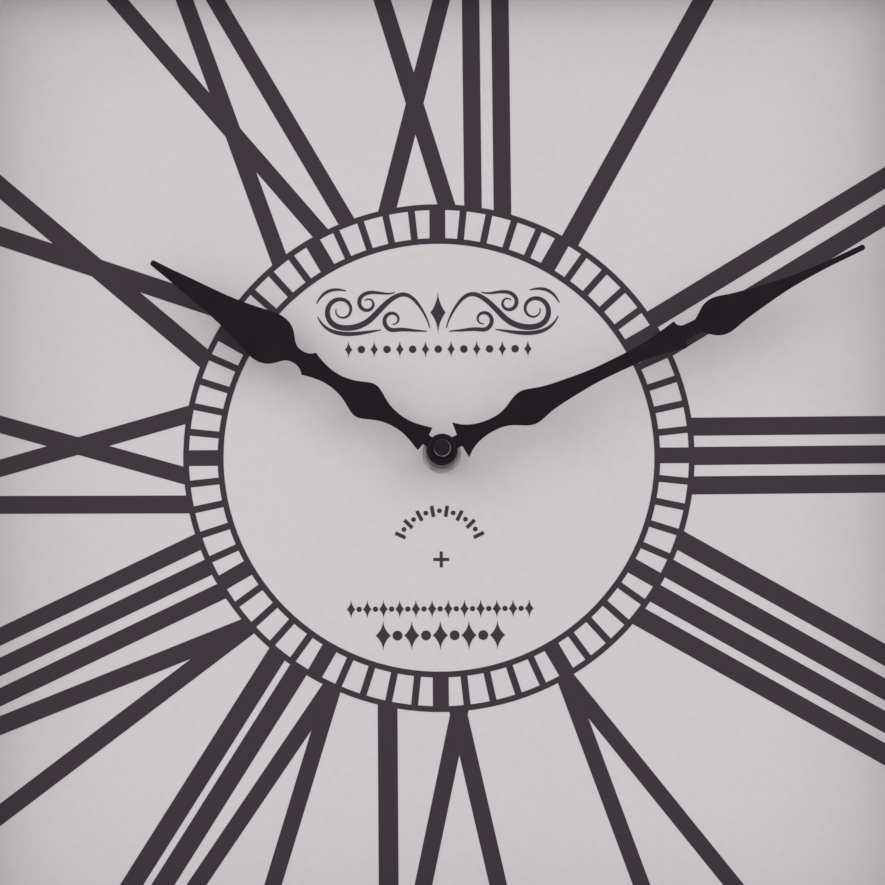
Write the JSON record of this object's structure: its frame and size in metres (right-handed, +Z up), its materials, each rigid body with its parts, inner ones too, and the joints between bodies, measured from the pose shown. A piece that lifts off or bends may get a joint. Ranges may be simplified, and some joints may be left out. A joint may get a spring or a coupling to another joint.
{
  "type": "wall clock",
  "caption": "Square quartz wall clock: mitred dark frame, pale dial with large Roman numerals and a minute ring, spade hands, and a battery movement behind the dial board.",
  "frame": {"origin": "centre of the round entry hole of the keyhole hanger plate, in the plane of the wall", "axes": "+Y out of the clock's back into the wall, so the dial faces -Y; +Z up; +X to the right seen from the front"},
  "size_m": [0.4, 0.0506, 0.4],
  "materials": {
    "frame_wood": "black lacquer over close grain, satin",
    "zinc_steel": "zinc plated, satin",
    "screw_steel": "yellow zinc plated",
    "bumper_rubber": "matt",
    "fibre_board": "raw fibreboard, matt",
    "dial_paper": "uncoated paper, off-white with a violet cast",
    "dial_ink": "matt ink, warm near-black",
    "hand_black": "satin black enamel",
    "cap_black": "gloss black with a worn bright rim",
    "brass": "turned, satin",
    "nickel_steel": "nickel plated, satin",
    "wheel_plastic": "natural acetal, satin",
    "magnet_grey": "sintered magnet, matt",
    "knob_plastic": "satin",
    "case_plastic": "fine spark texture, matt",
    "core_steel": "bright strip steel",
    "bobbin_plastic": "satin",
    "copper": "enamelled wire, gloss",
    "board_green": "solder mask, satin",
    "chip_resin": "cast resin",
    "battery_jacket": "printed jacket, satin"
  },
  "bodies": {
    "clock": {"border_print": "dial_ink", "bracket_screws": "screw_steel", "bushing_nut": "nickel_steel", "circuit_board": "board_green", "clock_chip": "chip_resin", "coil_bobbin": "bobbin_plastic", "coil_winding": "copper", "contact_negative": "core_steel", "contact_positive": "core_steel", "corner_brackets": "zinc_steel", "dial_board": "fibre_board", "dial_sheet": "dial_paper", "dial_washer": "nickel_steel", "frame_rail_bottom": "frame_wood", "frame_rail_left": "frame_wood", "frame_rail_right": "frame_wood", "frame_rail_top": "frame_wood", "framer_points": "zinc_steel", "hanger_plate": "zinc_steel", "hanger_screws": "screw_steel", "minute_ring_print": "dial_ink", "movement_case": "case_plastic", "movement_cover": "case_plastic", "numerals_print": "dial_ink", "ornament_print": "dial_ink", "quartz_crystal": "nickel_steel", "rubber_gasket": "bumper_rubber", "stator": "core_steel", "threaded_bushing": "brass", "train_plate": "case_plastic", "wall_bumpers": "bumper_rubber"},
    "minute_hand": {"minute_hand": "hand_black", "minute_pipe": "brass", "cap_nut": "cap_black"},
    "hour_hand": {"hour_hand": "hand_black", "hour_hand_collet": "brass", "hour_wheel": "wheel_plastic"},
    "motion_wheel": {"motion_wheel": "wheel_plastic"},
    "setting_knob": {"setting_knob": "knob_plastic"},
    "rotor": {"rotor": "magnet_grey"},
    "intermediate_wheel": {"intermediate_wheel": "wheel_plastic"},
    "seconds_wheel": {"seconds_wheel": "wheel_plastic"},
    "third_wheel": {"third_wheel": "wheel_plastic"},
    "centre_wheel": {"centre_wheel": "wheel_plastic"},
    "battery": {"battery": "battery_jacket"}
  },
  "joints": [
    {"name": "minute_hand_spin", "type": "hinge", "parent": "clock", "child": "minute_hand", "pos_m": [0, -0.04, -0.187], "axis": [0, 1, 0], "continuous": true},
    {"name": "hour_hand_spin", "type": "hinge", "parent": "clock", "child": "hour_hand", "pos_m": [0, -0.035, -0.187], "axis": [0, 1, 0], "continuous": true},
    {"name": "motion_wheel_spin", "type": "hinge", "parent": "clock", "child": "motion_wheel", "pos_m": [-0.00786, -0.016, -0.19251], "axis": [0, 1, 0], "continuous": true},
    {"name": "setting_knob_spin", "type": "hinge", "parent": "clock", "child": "setting_knob", "pos_m": [-0.01688, -0.005, -0.19579], "axis": [0, 1, 0], "continuous": true},
    {"name": "rotor_spin", "type": "hinge", "parent": "clock", "child": "rotor", "pos_m": [-0.01062, -0.013, -0.18186], "axis": [0, 1, 0], "continuous": true},
    {"name": "intermediate_wheel_spin", "type": "hinge", "parent": "clock", "child": "intermediate_wheel", "pos_m": [-0.00634, -0.009, -0.18404], "axis": [0, 1, 0], "continuous": true},
    {"name": "seconds_wheel_spin", "type": "hinge", "parent": "clock", "child": "seconds_wheel", "pos_m": [0, -0.011, -0.187], "axis": [0, 1, 0], "continuous": true},
    {"name": "third_wheel_spin", "type": "hinge", "parent": "clock", "child": "third_wheel", "pos_m": [0.00696, -0.012, -0.19188], "axis": [0, 1, 0], "continuous": true},
    {"name": "centre_wheel_spin", "type": "hinge", "parent": "clock", "child": "centre_wheel", "pos_m": [0, -0.0145, -0.187], "axis": [0, 1, 0], "continuous": true},
    {"name": "battery_slide", "type": "slide", "parent": "clock", "child": "battery", "axis": [0, 1, 0], "range_m": [0, 0.02]}
  ],
  "couplings": [
    {"joint": "hour_hand_spin", "follows": "minute_hand_spin", "ratio": 0.083333},
    {"joint": "motion_wheel_spin", "follows": "minute_hand_spin", "ratio": -0.33333},
    {"joint": "setting_knob_spin", "follows": "minute_hand_spin", "ratio": 1},
    {"joint": "intermediate_wheel_spin", "follows": "rotor_spin", "ratio": -0.2},
    {"joint": "seconds_wheel_spin", "follows": "rotor_spin", "ratio": 0.033333},
    {"joint": "third_wheel_spin", "follows": "rotor_spin", "ratio": -0.0044444},
    {"joint": "centre_wheel_spin", "follows": "rotor_spin", "ratio": 0.00055556}
  ]
}
